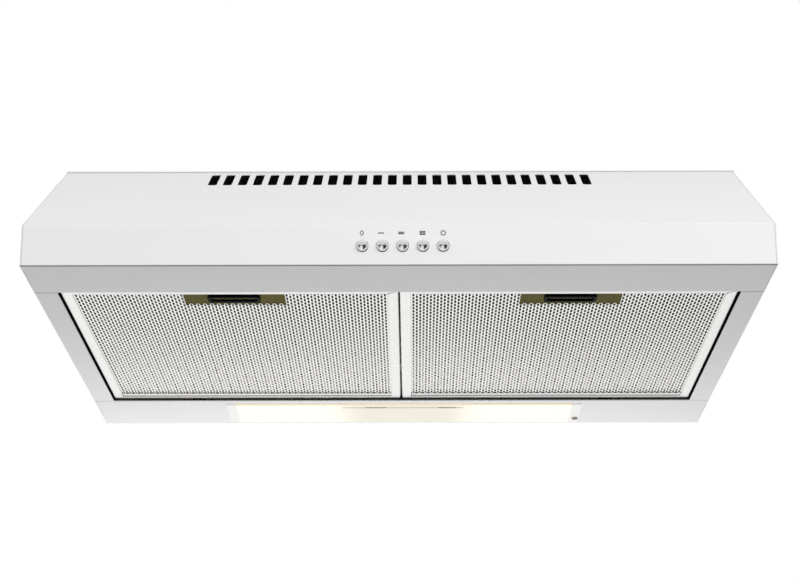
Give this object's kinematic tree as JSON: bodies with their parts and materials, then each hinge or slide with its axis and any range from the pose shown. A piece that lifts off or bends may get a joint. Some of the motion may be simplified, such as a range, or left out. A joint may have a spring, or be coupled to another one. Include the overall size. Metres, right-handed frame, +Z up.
{
  "type": "under cabinet range hood",
  "caption": "Wedge-shaped under-cabinet range hood with push buttons, a lamp, latched grease filters and a blower that blows fumes out through a round duct collar on top.",
  "frame": {"origin": "centre of the rectangle of four cabinet screw holes, on the outer face of the top panel", "axes": "+X to the right along the width, +Y towards the wall, +Z up through the cabinet floor; the buttons face -Y"},
  "size_m": [0.6, 0.5056, 0.1916],
  "materials": {
    "white_enamel": "gloss",
    "galvanised_steel": "satin",
    "reflector_white": "satin",
    "frosted_lens": "satin",
    "bulb_glass": "gloss",
    "socket_white": "matte",
    "plated_screw": "satin",
    "button_chrome": "gloss",
    "black_plastic": "satin",
    "switch_plastic": "matte",
    "filter_aluminium": "satin",
    "mesh_aluminium": "satin",
    "yellow_passivated": "satin",
    "spring_steel": "gloss",
    "impeller_plastic": "matte",
    "motor_steel": "satin",
    "stator_iron": "matte",
    "capacitor_can": "satin",
    "cable_grey": "matte",
    "grommet_rubber": "matte",
    "box_plastic": "matte"
  },
  "bodies": {
    "hood": {"top_panel": "white_enamel", "front_canopy": "white_enamel", "side_panel_left": "white_enamel", "side_panel_right": "white_enamel", "back_panel": "white_enamel", "lamp_panel": "white_enamel", "lamp_tray": "reflector_white", "lamp_lens": "frosted_lens", "lens_screw": "plated_screw", "switch_block": "switch_plastic", "switch_bracket": "galvanised_steel", "blower_scroll": "galvanised_steel", "blower_side_left": "galvanised_steel", "blower_side_right": "galvanised_steel", "blower_screws": "plated_screw", "motor_housing": "motor_steel", "motor_stator": "stator_iron", "motor_bracket": "galvanised_steel", "capacitor": "capacitor_can", "duct_collar": "black_plastic", "collar_screws": "plated_screw", "damper_pin": "spring_steel", "terminal_box": "box_plastic", "terminal_cover": "box_plastic", "cable_grommet": "grommet_rubber", "cable_to_motor": "cable_grey", "cable_to_lamp": "cable_grey", "cable_to_switch": "cable_grey", "lamp_socket_left": "socket_white", "lamp_socket_right": "socket_white", "bulb_left": "bulb_glass", "bulb_right": "bulb_glass"},
    "filter_left": {"filter_frame_left": "filter_aluminium", "filter_outer_mesh_left": "mesh_aluminium", "filter_media_left": "mesh_aluminium", "filter_inner_mesh_left": "mesh_aluminium", "filter_hooks_left": "yellow_passivated", "latch_plate_left": "yellow_passivated", "latch_springs_left": "spring_steel"},
    "latch_left": {"latch_slider_left": "black_plastic"},
    "filter_right": {"filter_frame_right": "filter_aluminium", "filter_outer_mesh_right": "mesh_aluminium", "filter_media_right": "mesh_aluminium", "filter_inner_mesh_right": "mesh_aluminium", "filter_hooks_right": "yellow_passivated", "latch_plate_right": "yellow_passivated", "latch_springs_right": "spring_steel"},
    "latch_right": {"latch_slider_right": "black_plastic"},
    "blower_wheel": {"impeller": "impeller_plastic", "motor_shaft": "spring_steel", "motor_rotor": "stator_iron"},
    "push_stop": {"button_stop": "button_chrome"},
    "push_low": {"button_low": "button_chrome"},
    "push_medium": {"button_medium": "button_chrome"},
    "push_high": {"button_high": "button_chrome"},
    "push_light": {"button_light": "button_chrome"},
    "flap_front": {"damper_flap_front": "black_plastic"},
    "flap_rear": {"damper_flap_rear": "black_plastic"}
  },
  "joints": [
    {"name": "button_stop_press", "type": "slide", "parent": "hood", "child": "push_stop", "axis": [0, 1, 0], "range_m": [0, 0.003], "stiffness_N_per_m": 300, "springref_m": -0.002},
    {"name": "button_low_press", "type": "slide", "parent": "hood", "child": "push_low", "axis": [0, 1, 0], "range_m": [0, 0.003], "stiffness_N_per_m": 300, "springref_m": -0.002},
    {"name": "button_medium_press", "type": "slide", "parent": "hood", "child": "push_medium", "axis": [0, 1, 0], "range_m": [0, 0.003], "stiffness_N_per_m": 300, "springref_m": -0.002},
    {"name": "button_high_press", "type": "slide", "parent": "hood", "child": "push_high", "axis": [0, 1, 0], "range_m": [0, 0.003], "stiffness_N_per_m": 300, "springref_m": -0.002},
    {"name": "button_light_press", "type": "slide", "parent": "hood", "child": "push_light", "axis": [0, 1, 0], "range_m": [0, 0.003], "stiffness_N_per_m": 300, "springref_m": -0.002},
    {"name": "filter_left_swing", "type": "hinge", "parent": "hood", "child": "filter_left", "pos_m": [-0.14015, 0.0635, -0.1519], "axis": [1, 0, 0], "range_deg": [0, 45]},
    {"name": "latch_left_slide", "type": "slide", "parent": "filter_left", "child": "latch_left", "axis": [0, 1, 0], "range_m": [0, 0.006], "stiffness_N_per_m": 400, "springref_m": -0.004, "deforming": ["latch_springs_left"]},
    {"name": "filter_right_swing", "type": "hinge", "parent": "hood", "child": "filter_right", "pos_m": [0.14015, 0.0635, -0.1519], "axis": [1, 0, 0], "range_deg": [0, 45]},
    {"name": "latch_right_slide", "type": "slide", "parent": "filter_right", "child": "latch_right", "axis": [0, 1, 0], "range_m": [0, 0.006], "stiffness_N_per_m": 400, "springref_m": -0.004, "deforming": ["latch_springs_right"]},
    {"name": "blower_spin", "type": "hinge", "parent": "hood", "child": "blower_wheel", "pos_m": [0, -0.005, -0.074], "axis": [1, 0, 0], "continuous": true},
    {"name": "damper_front_swing", "type": "hinge", "parent": "hood", "child": "flap_front", "pos_m": [0, 0.03, 0.012], "axis": [-1, 0, 0], "range_deg": [0, 75]},
    {"name": "damper_rear_swing", "type": "hinge", "parent": "hood", "child": "flap_rear", "pos_m": [0, 0.03, 0.012], "axis": [1, 0, 0], "range_deg": [0, 75]}
  ]
}
